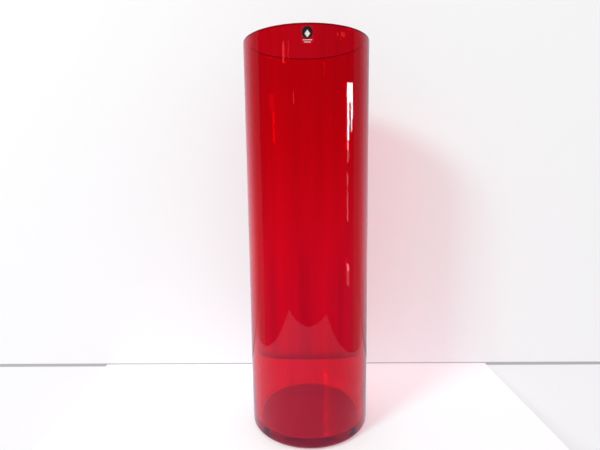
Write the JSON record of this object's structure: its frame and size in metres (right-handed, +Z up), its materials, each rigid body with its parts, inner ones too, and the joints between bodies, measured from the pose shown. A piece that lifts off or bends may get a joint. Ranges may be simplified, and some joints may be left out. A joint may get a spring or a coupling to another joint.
{
  "type": "cylinder vase",
  "caption": "Tall straight cylindrical vase of clear red glass with a thick base, a polished rim and a small oval label on the outside just under the rim.",
  "frame": {"origin": "centre of the plane that the vase rests on, on its axis", "axes": "+Z up along the vase's axis, towards its mouth; the label is on the outside of the wall at -Y and faces -Y; +X completes a right-handed frame"},
  "size_m": [0.112, 0.1122, 0.357],
  "materials": {
    "red_glass": "polished, deep red through the wall, darker in the thick base",
    "clear_film": "clear self-adhesive film, gloss",
    "black_ink": "printed ink, satin gloss",
    "cream_ink": "printed ink, matt"
  },
  "bodies": {
    "root": {"vase_body": "red_glass", "label_film": "clear_film", "label_disc": "black_ink", "label_diamond": "cream_ink", "label_bars": "cream_ink"}
  },
  "joints": []
}
